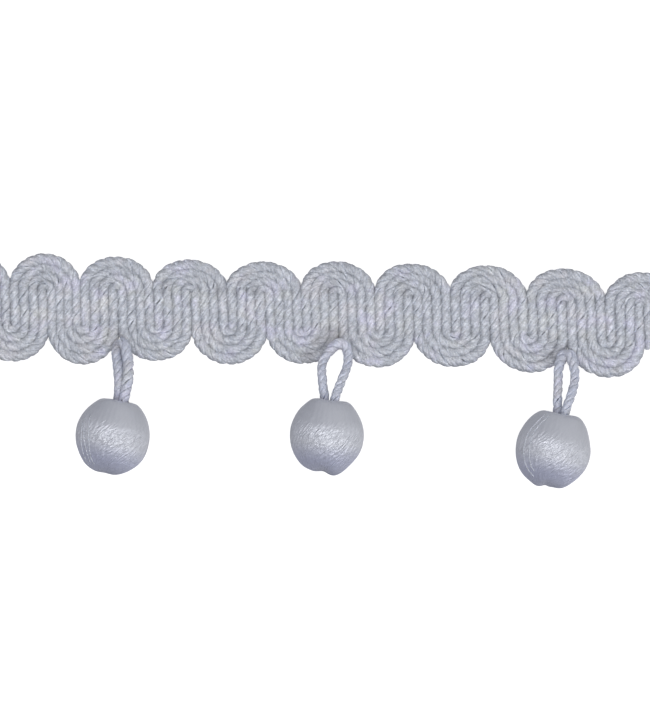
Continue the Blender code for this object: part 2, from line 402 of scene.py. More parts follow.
def cord_tree() -> GrowingTree:
    """Build the tree that lays the plies of a twisted cord round its middle line.

    Returns:
        The tree. The guide line's points have the attributes turn, the angle of the first ply
        in radians, and squeeze, the cord's thickness as a share. Each ply is a bundle of strands.
    """
    tree = GrowingTree("twisted_cord", {
        "Int": ("Plies", "Strands", "Seed"),
        "Float": (
            "Ring step", "Lay radius", "Ply depth", "Ply width", "Flatness", "Strand depth", "Wander",
            "Swell", "Fuzz", "Fibres round", "Fibres along",
        ),
        "Material": ("Yarn",),
    })
    given = tree.given
    line = tree.grown("MeshToCurve", {"Mesh": given["Geometry"]})
    even = tree.grown("ResampleCurve", {"Curve": line, "Length": given["Ring step"]}, mode="LENGTH")
    copied = {"Geometry": even, "Amount": given["Plies"]}
    plies = tree.add("GeometryNodeDuplicateElements", copied, domain="SPLINE").outputs
    along = tree.add("GeometryNodeSplineParameter").outputs
    shape = tree.store(plies["Geometry"], "run", along["Length"])
    shape = tree.store(shape, "ply", plies["Duplicate Index"])
    run = tree.named("run")
    number = tree.named("ply")
    seed = tree.times(given["Seed"], CORD_SEED_STEP)

    def drift(wave: float, shift: float) -> Socket:
        """Make a smooth number round 0 along each ply.

        Args:
            wave: about the length of its waves.
            shift: what sets it apart from the other one.

        Returns:
            The number's socket.
        """
        where = (tree.times(run, 1.0 / wave), tree.times(number, PLY_STEP), tree.plus(seed, shift))
        return tree.minus(tree.noise(tree.combine(*where), detail=2.0), 0.5)

    share = tree.maths("DIVIDE", number, given["Plies"])
    turn = tree.plus(tree.named("turn"), tree.times(share, FULL_TURN))
    turn = tree.plus(turn, tree.times(drift(WANDER_WAVE, 0.0), given["Wander"]))
    size = tree.plus(tree.times(drift(SWELL_WAVE, SWELL_SHIFT), given["Swell"]), 1.0)
    tangent = tree.grown("InputTangent")
    beside = tree.vector("NORMALIZE", tree.vector("CROSS_PRODUCT", (0.0, 0.0, 1.0), tangent))
    above = tree.vector("CROSS_PRODUCT", tangent, beside)
    outward = tree.vector(
        "ADD",
        tree.vector("SCALE", beside, tree.maths("COSINE", turn)),
        tree.vector("SCALE", above, tree.maths("SINE", turn)),
    )
    shape = tree.store(shape, "outward", outward, "FLOAT_VECTOR")
    shape = tree.store(shape, "size", tree.times(size, tree.named("squeeze")))
    outward = tree.named("outward", "FLOAT_VECTOR")
    reach = tree.times(given["Lay radius"], tree.named("squeeze"))
    offset = tree.vector("SCALE", outward, reach)
    offset = tree.vector("MULTIPLY", offset, tree.combine(1.0, 1.0, given["Flatness"]))
    shape = tree.grown("SetPosition", {"Geometry": shape, "Offset": offset})
    shape = tree.grown("SetCurveNormal", {"Curve": shape, "Normal": outward}, mode="FREE")

    sides = tree.times(given["Strands"], SIDES_PER_STRAND)
    section = tree.grown("CurvePrimitiveCircle", {"Resolution": sides, "Radius": 1.0})
    section = tree.store(section, "around", tree.times(along["Factor"], FULL_TURN))
    half_turns = tree.times(along["Factor"], math.pi, given["Strands"])
    lobe = tree.maths("ABSOLUTE", tree.maths("SINE", half_turns))
    lobe = tree.maths("MINIMUM", tree.times(lobe, LOBE_SCALE), 1.0)
    # The lobe also sets the painted shade between strands in the finish
    section = tree.store(section, "lobe", lobe)
    sunk = tree.times(tree.minus(1.0, tree.named("lobe")), given["Strand depth"])
    fluted = tree.vector("SCALE", tree.grown("InputPosition"), tree.minus(1.0, sunk))
    section = tree.grown("SetPosition", {"Geometry": section, "Position": fluted})
    size = tree.combine(given["Ply depth"], given["Ply width"], 1.0)
    section = tree.grown("Transform", {"Geometry": section, "Scale": size})
    mesh = tree.grown("CurveToMesh", {
        "Curve": shape,
        "Profile Curve": section,
        "Scale": tree.named("size"),
        "Fill Caps": True,
    })

    around = tree.named("around")
    place = tree.plus(tree.times(run, given["Fibres along"]), tree.times(number, PLY_FIBRE_STEP), seed)
    mesh = tree.store(mesh, "fibre", tree.ring(around, given["Fibres round"], place), "FLOAT_VECTOR")
    # flank: how far round to a ply's side a point lies; the finish paints light there
    side = tree.maths("SINE", around)
    flank = tree.times(side, side)
    mesh = tree.store(mesh, "flank", flank)
    # crown: the upward-facing top of each ply, where the finish paints a highlight
    lifted = tree.maths("MAXIMUM", tree.separate(outward)[2], 0.0)
    crown = tree.times(tree.maths("POWER", lifted, CROWN_POWER), tree.minus(1.0, flank))
    mesh = tree.store(mesh, "crown", crown)
    # pressed: where a binding thread squeezes the cord, darkened by the finish as painted shade
    pressed = tree.maths("MAXIMUM", tree.minus(1.0, tree.named("squeeze")), 0.0)
    mesh = tree.store(mesh, "pressed", pressed)
    mesh = tree.chart(mesh, tree.maths("DIVIDE", around, FULL_TURN), tree.times(run, UV_ALONG))
    coarse = tree.noise(tree.named("fibre", "FLOAT_VECTOR"), FUZZ_SCALE)
    raised = tree.times(tree.minus(coarse, 0.5), given["Fuzz"])
    offset = tree.vector("SCALE", tree.grown("InputNormal"), raised)
    mesh = tree.grown("SetPosition", {"Geometry": mesh, "Offset": offset})
    helpers = ("around", "run", "ply", "outward", "turn", "squeeze", "size")
    tree.finish(mesh, given["Yarn"], helpers)
    return tree


def winding_tree() -> GrowingTree:
    """Build the tree that covers a bead in wound thread.

    Returns:
        The tree. The guide line is the bead's half outline in the XZ plane, from the middle of
        the mouth at +Z to the lower end.
    """
    tree = GrowingTree("wound_bead", {
        "Int": ("Lanes", "Rows", "Wraps", "Seed"),
        "Float": ("Half width", "Wrap depth", "Stroke lean", "Stroke depth", "Unevenness"),
        "Material": ("Silk",),
    })
    given = tree.given
    outline = tree.grown("MeshToCurve", {"Mesh": given["Geometry"]})
    sides = {"Size X": 1.0, "Size Y": 1.0}
    counts = {"Vertices X": given["Lanes"], "Vertices Y": given["Rows"]}
    cover = tree.grown("MeshGrid", sides | counts)
    flat = tree.separate(tree.grown("InputPosition"))
    across = tree.plus(flat[0], 0.5)
    down = tree.minus(0.5, flat[1])
    shape = tree.chart(cover, across, down)
    turn = tree.times(across, FULL_TURN)
    read = {"Curves": outline, "Factor": down}
    sampled = tree.add("GeometryNodeSampleCurve", read, mode="FACTOR").outputs["Position"]
    spot = tree.separate(sampled)
    radius = spot[0]
    height = spot[2]
    share = tree.maths("DIVIDE", radius, given["Half width"])
    climb = tree.maths("DIVIDE", height, given["Half width"])
    shape = tree.store(shape, "climb", climb)

    leant = tree.plus(turn, tree.times(climb, given["Stroke lean"]))
    seed = tree.times(given["Seed"], BEAD_SEED_STEP)
    fibre = tree.ring(leant, STROKES_ROUND, tree.plus(tree.times(climb, STROKES_ALONG), seed))
    shape = tree.store(shape, "fibre", fibre, "FLOAT_VECTOR")
    depth = tree.times(given["Stroke depth"], tree.ramp(climb, FAINT_FROM, 0.0, FAINTEST, 1.0))
    stroke = tree.times(tree.minus(tree.noise(fibre), 0.5), depth)
    lay = tree.ring(turn, BUNDLES_ROUND, tree.plus(tree.times(climb, BUNDLES_ALONG), seed))
    bundle = tree.times(tree.minus(tree.noise(lay, detail=2.0), 0.5), given["Unevenness"])
    half_turns = tree.times(turn, 0.5, given["Wraps"])
    crest = tree.maths("ABSOLUTE", tree.maths("SINE", half_turns))
    groove = tree.minus(tree.maths("POWER", crest, CREST_POWER), 1.0)
    wrap = tree.times(groove, given["Wrap depth"])
    shape = tree.store(shape, "raised", tree.times(tree.plus(stroke, bundle, wrap), share))
    surface = tree.ring(turn, radius, height)
    shape = tree.grown("SetPosition", {"Geometry": shape, "Position": surface})
    shape = tree.grown("MergeByDistance", {"Geometry": shape, "Distance": WELD})
    offset = tree.vector("SCALE", tree.grown("InputNormal"), tree.named("raised"))
    shape = tree.grown("SetPosition", {"Geometry": shape, "Offset": offset})
    tree.finish(shape, given["Silk"], ("raised",))
    return tree


# Finishes
@dataclass(frozen=True)
class Tint:
    """A cloud of another colour that drifts over a finish."""

    colour: Colour
    strength: float
    scale: float
    start: float
    shift: float
    width: float = 0.16

    def mix(self, wires: PaintTree, colour: Socket) -> Socket:
        """Lay the cloud over a colour.

        Args:
            wires: the material's tree.
            colour: the socket of the colour below.

        Returns:
            The mixed colour's socket.
        """
        where = wires.vector("ADD", wires.place(), (self.shift,) * 3)
        cloud = wires.noise(where, self.scale, detail=2.0)
        share = wires.ramp(cloud, self.start, self.start + self.width, 0.0, self.strength)
        return wires.mix(share, colour, self.colour)


@dataclass(frozen=True)
class PaintedShade:
    """A painted shade on a finish, where shadow falls, in metres from the origin, seen from above."""

    x: float
    y: float
    reach: float
    strength: float
    colour: Colour = (0.25, 0.245, 0.26)

    def mix(self, wires: PaintTree, colour: Socket) -> Socket:
        """Lay the painted shade over a colour.

        Args:
            wires: the material's tree.
            colour: the socket of the colour below.

        Returns:
            The mixed colour's socket.
        """
        flat = wires.vector("MULTIPLY", wires.place(), (1.0, 1.0, 0.0))
        gap = wires.vector("DISTANCE", flat, (self.x, self.y, 0.0))
        # Painted shade, darkest at the patch's middle
        share = wires.ramp(gap, 0.0, self.reach, self.strength, 0.0, interpolation_type="SMOOTHSTEP")
        return wires.mix(share, colour, self.colour)


@dataclass(frozen=True)
class YarnFinish:
    """Glossy filament yarn. The fibres follow the attribute fibre of the piece, whose first two
    numbers go round the ply and whose third runs along it."""

    name: str
    shade: Colour
    light: Colour
    roughness: float
    gloss: float
    fibre_depth: float
    tints: tuple[Tint | PaintedShade, ...] = ()
    streak_share: float = 0.45
    streak_roughness: float = 0.62
    blot_scale: float = 0.42
    colour_range: tuple[float, float] = (0.40, 0.60)
    gloss_range: tuple[float, float] = (0.25, 0.75)
    fleck_range: tuple[float, float] = (0.3, 0.7)
    flank_from: float = 0.2
    nap_depth: float = 0.00010
    nap_scale: float = 3400.0
    # The colour's factor in the valleys between strands, a painted shade
    groove: float = 0.92
    # How much painted light the plies' flanks get
    painted_flank_light: float = 0.60
    # How strong the flecks are, painted glints of the filaments
    flecks: float = 0.20
    fleck_scale: float = 4600.0
    # How strong the painted highlight on the plies' crowns is
    painted_crown_highlight: float = 0.42
    # How much the calm places hold back the painted crown highlight
    calmness: float = 0.7
    # How much painted shade a pressed cord gets
    pressed_shade: float = 1.3
    gloss_change: float = 0.08
    spread: float = 0.8
    satin: float = 0.18
    softness: float = 0.7
    soft_reach: float = 0.0006
    soft_colours: Colour = (1.0, 0.95, 0.9)

    def base(self, wires: PaintTree, fibre: Socket, streaks: Socket) -> Socket:
        """Mix the colour of the fibres, with the tints and the painted shades over it.

        Args:
            wires: the material's tree.
            fibre: the place in the fibres.
            streaks: the fine noise along them.

        Returns:
            The colour's socket.
        """
        blots = wires.times(wires.noise(fibre, self.blot_scale), 1.0 - self.streak_share)
        both = wires.plus(wires.times(streaks, self.streak_share), blots)
        colour = wires.mix(wires.ramp(both, *self.colour_range), self.shade, self.light)
        for tint in self.tints:
            colour = tint.mix(wires, colour)
        return colour

    def level(self, wires: PaintTree) -> Socket:
        """Say how light each part of a ply is.

        Args:
            wires: the material's tree.

        Returns:
            The socket of the factor: painted shade between strands and where the cord is pressed,
            painted light on the plies' flanks, a painted highlight on their crowns, and fine flecks
            all over, painted glints of the filaments over a random tone.
        """
        # Painted shade in the valleys between strands
        strand_shade = wires.ramp(wires.attribute("lobe"), 0.0, 1.0, low=self.groove)
        flank = wires.attribute("flank")
        # Painted light on the plies' flanks, which lightens the crevices where shade falls
        lifted = wires.ramp(flank, self.flank_from, 1.0, 1.0, 1.0 + self.painted_flank_light)
        # Painted shade where a binding thread presses the cord
        pressed_shaded = wires.minus(1.0, wires.times(wires.attribute("pressed"), self.pressed_shade))
        # Painted highlight on the upward crown of each ply, held back where the yarn lies calm
        lively = wires.minus(1.0, wires.times(wires.attribute("calm"), self.calmness))
        crown = wires.times(wires.attribute("crown"), lively)
        painted_crown_highlight = wires.ramp(crown, 0.0, 1.0, 1.0, 1.0 + self.painted_crown_highlight)
        # Fine flecks, lighter and darker: painted glints of the filaments over a random tone
        flecks = wires.noise(wires.place(), self.fleck_scale)
        flecked = wires.ramp(flecks, *self.fleck_range, 1.0 - self.flecks, 1.0 + self.flecks)
        return wires.times(strand_shade, lifted, pressed_shaded, painted_crown_highlight, flecked)

    def make(self) -> bpy.types.Material:
        """Build the material.

        Returns:
            The material, with its fibres in colour, gloss and relief.
        """
        wires = PaintTree(self.name)
        fibre = wires.attribute("fibre", "Vector")
        streaks = wires.noise(fibre, detail=3.0, roughness=self.streak_roughness)
        dull = self.roughness + self.gloss_change
        bright = self.roughness - self.gloss_change
        napped = wires.bump(wires.noise(wires.place(), self.nap_scale), self.nap_depth)
        wires.feed(napped.inputs["Normal"], wires.bump(streaks, self.fibre_depth).outputs[0])
        return wires.paint({
            "Base Color": wires.vector("SCALE", self.base(wires, fibre, streaks), self.level(wires)),
            "Roughness": wires.ramp(streaks, *self.gloss_range, dull, bright),
            "Specular IOR Level": self.gloss,
            "Metallic": self.satin,
            "Anisotropic": self.spread,
            "Tangent": wires.tangent(),
            "Normal": napped.outputs[0],
            "Subsurface Weight": self.softness,
            "Subsurface Scale": self.soft_reach,
            "Subsurface Radius": self.soft_colours,
        })


@dataclass(frozen=True)
class SilkFinish:
    """Satin thread, wound from end to end of a bead, so that its gloss spreads across the thread.

    Heights on the bead are counted from its middle, in half widths."""

    name: str
    shade: Colour
    light: Colour
    stroke_roughness: float = 0.6
    stroke_range: tuple[float, float] = (0.35, 0.65)
    # Painted shade: the bluish, dimmer light on the bead's lower side
    low: Colour = (0.47, 0.49, 0.62)
    painted_shade_from: float = -0.15
    painted_shade_to: float = -0.60
    smooth_above: float = 0.60
    rough_below: float = 0.02
    least_strokes: float = 0.12
    roughness: float = 0.40
    spread: float = 0.92
    gloss: float = 1.0
    satin: float = 0.50
    stroke_depth: float = 0.00030
    sheen: float = 0.22
    sheen_roughness: float = 0.5

    def make(self) -> bpy.types.Material:
        """Build the material.

        Returns:
            The material, whose strokes follow the attribute fibre of the piece.
        """
        wires = PaintTree(self.name)
        fibre = wires.attribute("fibre", "Vector")
        strokes = wires.noise(fibre, detail=2.0, roughness=self.stroke_roughness)
        climb = wires.attribute("climb")
        # The strokes fade towards the top, in colour and in relief, leaving the top nearer the shade
        # colour
        stroke_fade = wires.ramp(climb, self.smooth_above, self.rough_below, self.least_strokes, 1.0)
        share = wires.times(wires.ramp(strokes, *self.stroke_range), stroke_fade)
        colour = wires.mix(share, self.shade, self.light)
        # Painted shade: towards the bottom the colour turns to the bluish low colour
        below = wires.ramp(climb, self.painted_shade_from, self.painted_shade_to)
        return wires.paint({
            "Base Color": wires.mix(below, colour, self.low),
            "Roughness": self.roughness,
            "Specular IOR Level": self.gloss,
            "Metallic": self.satin,
            "Anisotropic": self.spread,
            "Sheen Weight": self.sheen,
            "Sheen Roughness": self.sheen_roughness,
            "Tangent": wires.tangent(),
            "Normal": wires.bump(wires.times(strokes, stroke_fade), self.stroke_depth).outputs[0],
        })


# Painted shade where shadow falls on the gimp and on the loops: x, y, reach, strength
PAINTED_SHADES = tuple(PaintedShade(*row) for row in (
    (0.0026, 0.0028, 0.0016, 0.40),
    (-0.0192, 0.0029, 0.0015, 0.32),
    (-0.0120, 0.0025, 0.0015, 0.30),
    (-0.0072, 0.0027, 0.0014, 0.26),
    (0.0128, 0.0031, 0.0015, 0.30),
    (0.0233, 0.0032, 0.0015, 0.26),
    (0.0338, 0.0029, 0.0015, 0.28),
    (-0.0253, -0.0044, 0.0016, 0.42),
    (0.0015, -0.0043, 0.0019, 0.42),
    (0.0032, -0.0032, 0.0023, 0.60),
    (0.0046, -0.0030, 0.0016, 0.36),
    (0.0001, -0.0060, 0.0018, 0.60),
    (0.0348, -0.0041, 0.0014, 0.40),
    (0.0334, -0.0045, 0.0018, 0.36),
    (0.0324, -0.0054, 0.0016, 0.48),
    (-0.0366, 0.0018, 0.0013, 0.22),
    (-0.0280, 0.0029, 0.0014, 0.25),
))

LOOP_PAINTED_SHADES = tuple(PaintedShade(*row) for row in (
    (-0.0249, -0.0051, 0.0017, 0.22),
    (0.0344, -0.0046, 0.0020, 0.26),
))


# The heading's plan, in millimetres
@dataclass(frozen=True)
class Scroll:
    """One scroll, or one cut end: its middle, its crown's height and the heading's sway."""

    middle: float
    crown: float
    sway: float


def spline_value(values: list[float], place: float) -> float:
    """Read a smooth curve through evenly spaced values.

    Args:
        values: the values.
        place: where to read, counted in values.

    Returns:
        The value there.
    """
    last = len(values) - 1
    start = min(max(int(math.floor(place)), 0), last - 1)
    t = place - start
    a = values[max(start - 1, 0)]
    b = values[start]
    c = values[start + 1]
    d = values[min(start + 2, last)]
    slope_b = c - b if start == 0 else (c - a) / 2.0
    slope_c = c - b if start == last - 1 else (d - b) / 2.0
    h00 = 2.0 * t ** 3 - 3.0 * t ** 2 + 1.0
    h10 = t ** 3 - 2.0 * t ** 2 + t
    h01 = 3.0 * t ** 2 - 2.0 * t ** 3
    h11 = t ** 3 - t ** 2
    return h00 * b + h10 * slope_b + h01 * c + h11 * slope_c


def spline_line(points: list | tuple, steps: int) -> list[list[float]]:
    """Draw a smooth line through points.

    Args:
        points: the points, each with its numbers.
        steps: how many pieces lie between two of them.

    Returns:
        The numbers of each point of the line.
    """
    rows = [list(row) for row in zip(*points)]
    places = [k / steps for k in range((len(points) - 1) * steps + 1)]
    return [[spline_value(row, place) for row in rows] for place in places]


def line_mesh(name: str, points: list) -> bpy.types.Mesh:
    """Make a mesh of points with an edge from each to the next.

    Args:
        name: its name.
        points: the points, in metres.

    Returns:
        The mesh.
    """
    mesh = bpy.data.meshes.new(name)
    mesh.from_pydata(points, [(k, k + 1) for k in range(len(points) - 1)], [])
    return mesh


@dataclass
class Wander:
    """A small smooth error along a length, the same on every run.

    It is a sum of sine waves, whose lengths are shares of the given one."""

    seed: int
    size: float
    wave: float
    count: int = 4
    shortest: float = 0.55
    growth: float = 0.42
    chance: float = 0.2
    height: float = 0.5
    parts: list[tuple[float, float]] = field(default_factory=list)

    def __post_init__(self) -> None:
        """Draw the waves that it is made of."""
        draw = random.Random(self.seed)
        for step in range(self.count):
            share = self.shortest + self.growth * step + self.chance * draw.random()
            length = self.wave * share
            self.parts.append((FULL_TURN / length, draw.uniform(0.0, FULL_TURN)))

    def at(self, place: float) -> float:
        """Return the error at a place along the length."""
        waves = [self.height * math.sin(rate * place + start) for rate, start in self.parts]
        return self.size * sum(waves)


@dataclass
class YarnLine:
    """The middle line of a cord, with the turn of its plies and its thickness at each point."""

    points: list[Vector] = field(default_factory=list)
    turns: list[float] = field(default_factory=list)
    squeezes: list[float] = field(default_factory=list)
    calms: list[float] = field(default_factory=list)

    def add(self, point: Vector, squeeze: float = 1.0, calm: float = 0.0) -> None:
        """Add a point in millimetres.

        Args:
            point: the point.
            squeeze: the cord's thickness there, as a share.
            calm: how much the painted crown highlight is held back there, from 0 to 1.
        """
        self.points.append(point)
        self.squeezes.append(squeeze)
        self.calms.append(calm)

    def lengths(self) -> list[float]:
        """Measure the line.

        Returns:
            The length from the start to each point.
        """
        gone = [0.0]
        for a, b in zip(self.points, self.points[1:]):
            gone.append(gone[-1] + (b - a).length)
        return gone

    def wind(self, pitch: float) -> None:
        """Turn the plies evenly, once round in a pitch."""
        self.turns = [FULL_TURN * length / pitch for length in self.lengths()]

    def guide(self, name: str) -> bpy.types.Mesh:
        """Make the guide line that a tree grows a cord on.

        Args:
            name: the mesh's name.

        Returns:
            The mesh, in metres, with its attributes turn, squeeze and calm.
        """
        mesh = line_mesh(name, [point * MM for point in self.points])
        kept = {"turn": self.turns, "squeeze": self.squeezes, "calm": self.calms}
        for label, values in kept.items():
            layer = mesh.attributes.new(label, "FLOAT", "POINT")
            layer.data.foreach_set("value", values)
        return mesh


@dataclass
class Cord:
    """How a cord is laid up, in millimetres."""

    plies: int = 3
    pitch: float = 3.72
    lay_radius: float = 0.485
    ply_depth: float = 0.35
    ply_width: float = 0.46
    flatness: float = 0.72
    ring_step: float = 0.20
    strands: int = 7
    strand_depth: float = 0.08
    wander: float = 1.9
    swell: float = 0.45
    fuzz: float = 0.10
    fibres_round: float = 2.4
    fibres_along: float = 4.0

    def sizes(self, material: bpy.types.Material, seed: int) -> dict:
        """Return the inputs of the cord's tree, in metres.

        Args:
            material: the yarn's finish.
            seed: the number that its unevenness comes from.

        Returns:
            The value of each named input.
        """
        return {
            "Plies": self.plies,
            "Ring step": self.ring_step * MM,
            "Lay radius": self.lay_radius * MM,
            "Ply depth": self.ply_depth * MM,
            "Ply width": self.ply_width * MM,
            "Flatness": self.flatness,
            "Strands": self.strands,
            "Strand depth": self.strand_depth,
            "Wander": self.wander,
            "Swell": self.swell,
            "Fuzz": self.fuzz * MM,
            "Fibres round": self.fibres_round,
            "Fibres along": self.fibres_along / MM,
            "Seed": seed,
            "Yarn": material,
        }

    def reach(self) -> float:
        """Return the cord's outer radius."""
        return self.lay_radius + self.ply_depth

    def rise(self) -> float:
        """Return half the cord's height, where it lies pressed flat."""
        return self.lay_radius * self.flatness + self.ply_depth


def ride(piece: bpy.types.Object, slot: Slot) -> None:
    """Let a piece move with the part and log its triangles.

    Args:
        piece: the finished piece, at the origin.
        slot: the slot; not used.
    """
    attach(piece, BODY)
    faces = sum(len(face.vertices) - 2 for face in piece.data.polygons)
    log.info("%s: %d triangles", piece.name, faces)


@dataclass(frozen=True)
class Yarn:
    """What the cords of one slot are spun from: the tree of cords and a material."""

    tree: GrowingTree
    material: bpy.types.Material
    slot: Slot

    def spin(self, name: str, line: YarnLine, cord: Cord, seed: int) -> bpy.types.Object:
        """Make a cord that rides with the part.

        Args:
            name: the piece's name.
            line: its middle line.
            cord: how it is laid up.
            seed: the number that its unevenness comes from.

        Returns:
            The piece, at the origin.
        """
        piece = self.tree.grow(name, line.guide(name), cord.sizes(self.material, seed))
        ride(piece, self.slot)
        return piece


@dataclass
class Heading:
    """The scroll gimp: four cords side by side, led through a bound band and round scrolls."""

    cord: Cord = field(default_factory=Cord)
    spacing: float = 1.25
    cords: int = 4
    half_band: float = 2.45
    cut_y: float = -3.4
    lean: float = 0.065
    binding_squeeze: float = 0.94
    binding_width: float = 0.50
    arch_step: float = 0.28
    arch_swell: float = 0.05
    clearance: float = 0.11
    error: float = 0.05
    side_wave: float = 5.0
    rise_wave: float = 6.0
    presses: tuple[float, float] = (0.6, 1.15)
    turn_error: float = 0.55
    lower_calm: float = 0.75
    side_seed: int = 11
    rise_seed: int = 31
    press_seed: int = 51
    turn_seed: int = 71
    least_band_steps: int = 2
    least_arch_steps: int = 6
    # Each scroll's middle, crown and sway
    scrolls: tuple[Scroll, ...] = tuple(Scroll(*row) for row in (
        (-49.70, 0.00, -0.50), (-44.75, 6.65, -0.48), (-39.95, -7.95, -0.46),
        (-35.00, 6.80, -0.42), (-30.50, -8.05, -0.32), (-25.50, 6.68, -0.22),
        (-20.70, -7.25, -0.16), (-15.70, 6.57, -0.06), (-10.80, -7.49, 0.00),
        (-5.75, 6.60, 0.04), (-0.85, -7.07, 0.06), (4.05, 6.89, 0.08),
        (9.05, -7.30, 0.14), (14.10, 6.92, 0.20), (19.20, -6.90, 0.24),
        (24.40, 6.96, 0.20), (29.50, -7.37, 0.08), (34.75, 6.86, -0.04),
        (40.00, -7.72, -0.14), (45.15, 6.63, -0.20), (50.20, 0.00, -0.22),
    ))

    def point(self, lane: float, y: float, z: float) -> Vector:
        """Place a point of the heading.

        Args:
            lane: its place along the heading, counted in cords from the left cut end.
            y: its height in the heading, before the sway.
            z: its height above the surface.

        Returns:
            The point, in millimetres.
        """
        place = lane / self.cords
        middle = spline_value([scroll.middle for scroll in self.scrolls], place)
        sway = spline_value([scroll.sway for scroll in self.scrolls], place)
        return Vector((middle - self.lean * y, y + sway, z))

    def arch_height(self, index: int) -> float:
        """Measure a scroll's outer cord.

        Args:
            index: the scroll, counted from the left cut end.

        Returns:
            The height of its middle line over the band's edge.
        """
        scroll = self.scrolls[index]
        reach = self.cord.reach() * (1.0 + self.arch_swell)
        return abs(scroll.crown - scroll.sway) - self.half_band - reach

    def squeeze(self, y: float, share: float) -> float:
        """Return the cord's thickness at a height, where a binding thread may press it.

        Args:
            y: the height in the heading.
            share: how hard the thread presses there, from 0 to 1.

        Returns:
            The thickness as a share.
        """
        away = (abs(y) - self.half_band) / self.binding_width
        return 1.0 - (1.0 - self.binding_squeeze) * share * math.exp(-away * away)

    def lay_cord(self, number: int) -> YarnLine:
        """Lead one cord through the band and round every scroll.

        Args:
            number: the cord, from 0 on the outside of the first scroll.

        Returns:
            Its middle line.
        """
        line = YarnLine()
        middles = []
        height = self.cord.rise()
        end = len(self.scrolls) - 1
        sideways = Wander(self.side_seed + number, self.error, self.side_wave)
        upwards = Wander(self.rise_seed + number, self.error, self.rise_wave)
        draw = random.Random(self.press_seed + number)
        gone = 0.0

        def put(lane: float, y: float, press: float, swell: float = 0.0, calm: float = 0.0) -> None:
            """Add the cord's next point.

            Args:
                lane: its place along the heading, counted in cords.
                y: its height in the heading.
                press: how hard the binding presses it, if it does.
                swell: what is added to its thickness, as a share.
                calm: how much the painted crown highlight is held back there.
            """
            nonlocal gone
            gone += self.arch_step
            lane_off = sideways.at(gone) / self.spacing
            z = height * (1.0 + swell) + self.clearance + upwards.at(gone)
            line.add(self.point(lane + lane_off, y, z), self.squeeze(y, press) + swell, calm)

        lane = number + 0.5
        y = self.cut_y
        for index in range(1, end + 1):
            side = 1.0 if index % 2 else -1.0
            target = self.cut_y if index == end else side * self.half_band
            steps = max(self.least_band_steps, round(abs(target - y) / self.arch_step))
            press = draw.uniform(*self.presses)
            for step in range(steps):
                here = y + (target - y) * step / steps
                if here * y <= 0.0 and len(middles) < index:
                    middles.append(len(line.points))
                put(lane, here, press)
            if index == end:
                put(lane, target, press)
                break
            radius = index * self.cords - lane
            tall = self.arch_height(index) * radius / (self.cords - 0.5)
            rim = math.pi * math.sqrt((tall ** 2 + (radius * self.spacing) ** 2) / 2.0)
            steps = max(self.least_arch_steps, round(rim / self.arch_step))
            for step in range(steps):
                angle = math.pi * (1.0 - step / steps)
                rise = math.sin(angle)
                column = index * self.cords + radius * math.cos(angle)
                calm = math.sqrt(rise) * (1.0 if side > 0.0 else self.lower_calm)
                put(column, side * (self.half_band + tall * rise), press, self.arch_swell * rise, calm)
            lane = index * self.cords + radius
            y = side * self.half_band
        self.twist(line, middles, number)
        return line

    def twist(self, line: YarnLine, middles: list[int], number: int) -> None:
        """Turn the plies so that the lumps of neighbouring columns nest at the band's middle.

        Args:
            line: the cord's middle line, whose turns are set.
            middles: the points where the cord crosses the band's middle.
            number: the cord.
        """
        lengths = line.lengths()
        step = FULL_TURN / self.cord.plies
        draw = random.Random(self.turn_seed + number)
        knots = []
        for k, index in enumerate(middles):
            rising = 1.0 if k % 2 == 0 else -1.0
            wanted = math.pi / 2.0 + rising * draw.uniform(-self.turn_error, self.turn_error)
            free = 0.0
            if knots:
                free = knots[-1][1] + FULL_TURN * (lengths[index] - knots[-1][0]) / self.cord.pitch
            knots.append((lengths[index], wanted + step * round((free - wanted) / step)))
        for length in lengths:
            line.turns.append(self.turn_at(knots, length))

    def turn_at(self, knots: list[tuple[float, float]], length: float) -> float:
        """Read the turn of the plies.

        Args:
            knots: lengths along the cord and the turns wanted there.
            length: where to read.

        Returns:
            The turn there, between the knots or past them.
        """
        rate = FULL_TURN / self.cord.pitch
        if length <= knots[0][0]:
            return knots[0][1] - rate * (knots[0][0] - length)
        for (start, first), (end, second) in zip(knots, knots[1:]):
            if length <= end:
                return first + (second - first) * (length - start) / (end - start)
        return knots[-1][1] + rate * (length - knots[-1][0])

    def build(self, yarn: Yarn) -> None:
        """Make the four cords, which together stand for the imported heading.

        Args:
            yarn: what the cords are spun from.
        """
        for number in range(self.cords):
            piece = yarn.spin(f"gimp_cord_{number + 1}", self.lay_cord(number), self.cord, number)
            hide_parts("heading")


